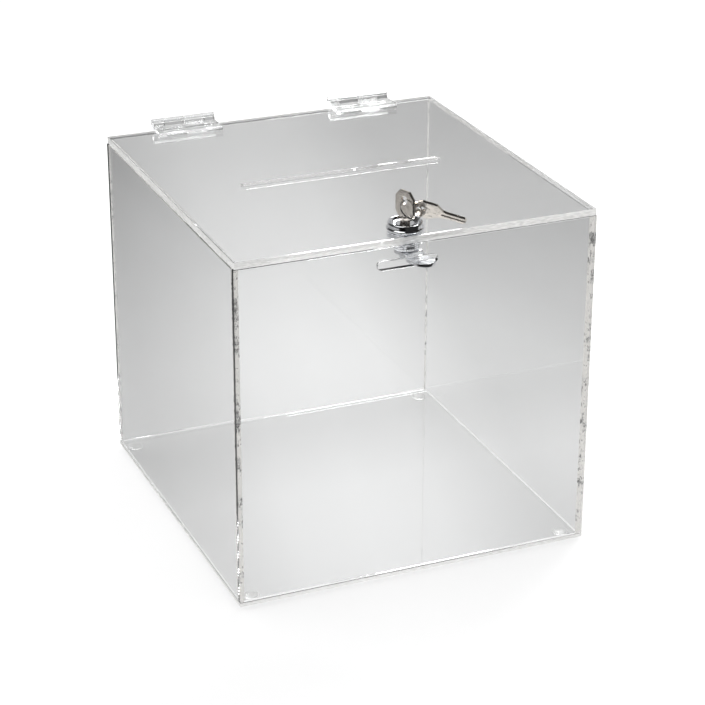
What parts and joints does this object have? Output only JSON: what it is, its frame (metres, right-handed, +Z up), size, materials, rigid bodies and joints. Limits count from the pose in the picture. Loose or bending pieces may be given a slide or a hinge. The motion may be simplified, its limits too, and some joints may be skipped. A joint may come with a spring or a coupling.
{
  "type": "donation box",
  "caption": "Clear acrylic donation box with a coin slot in its hinged lid, a cam lock and keys on a ring.",
  "frame": {"origin": "on the ground, under the middle of the part's overall box, cam tip and hinge barrels included", "axes": "+Z up, the lock side is the front at -Y, hinges at the back at +Y"},
  "size_m": [0.26, 0.286, 0.278],
  "materials": {
    "acrylic": "clear cast acrylic sheet, polished faces",
    "hinge_plastic": "clear moulded acrylic, glossy",
    "foot_vinyl": "clear soft bumper, smooth",
    "lock_chrome": "polished chrome plate on die-cast zinc and steel",
    "zinc_steel": "zinc-plated steel",
    "wafer_brass": "stamped brass",
    "ring_steel": "bright nickel-plated spring wire",
    "key_nickel": "nickel-plated, stamped"
  },
  "bodies": {
    "box": {"base_panel": "acrylic", "front_panel": "acrylic", "back_panel": "acrylic", "left_panel": "acrylic", "right_panel": "acrylic", "foot_front_left": "foot_vinyl", "foot_front_right": "foot_vinyl", "foot_back_left": "foot_vinyl", "foot_back_right": "foot_vinyl", "hinge_left_back_leaf": "hinge_plastic", "hinge_left_pin": "hinge_plastic", "hinge_right_back_leaf": "hinge_plastic", "hinge_right_pin": "hinge_plastic"},
    "lid": {"lid_panel": "acrylic", "hinge_left_lid_leaf": "hinge_plastic", "hinge_right_lid_leaf": "hinge_plastic", "lock_housing": "lock_chrome", "lock_nut": "lock_chrome"},
    "plug": {"lock_plug": "lock_chrome", "lock_wafer_1": "wafer_brass", "lock_wafer_2": "wafer_brass", "lock_wafer_3": "wafer_brass", "lock_wafer_4": "wafer_brass", "lock_wafer_5": "wafer_brass", "lock_cam": "lock_chrome", "cam_washer": "zinc_steel", "cam_screw": "zinc_steel"},
    "key": {"key": "key_nickel"},
    "ring": {"key_ring": "ring_steel"},
    "spare_key": {"spare_key": "key_nickel"}
  },
  "joints": [
    {"name": "lid_hinge", "type": "hinge", "parent": "box", "child": "lid", "pos_m": [0, 0.14062, 0.257], "axis": [-1, 0, 0], "range_deg": [0, 180]},
    {"name": "plug_turn", "type": "hinge", "parent": "lid", "child": "plug", "pos_m": [-0.0044, -0.11688, 0.245], "axis": [0, 0, 1], "range_deg": [-170, 0]},
    {"name": "key_slide", "type": "slide", "parent": "plug", "child": "key", "axis": [0, 0, 1], "range_m": [0, 0.02]},
    {"name": "ring_swing", "type": "hinge", "parent": "key", "child": "ring", "pos_m": [-0.0044, -0.11688, 0.2715], "axis": [-0.9563, -0.2924, 0], "range_deg": [0, 240]},
    {"name": "spare_key_swing", "type": "hinge", "parent": "ring", "child": "spare_key", "pos_m": [0.00485, -0.12098, 0.26608], "axis": [0.1164, -0.762, -0.637], "range_deg": [-1.5, 8]}
  ]
}
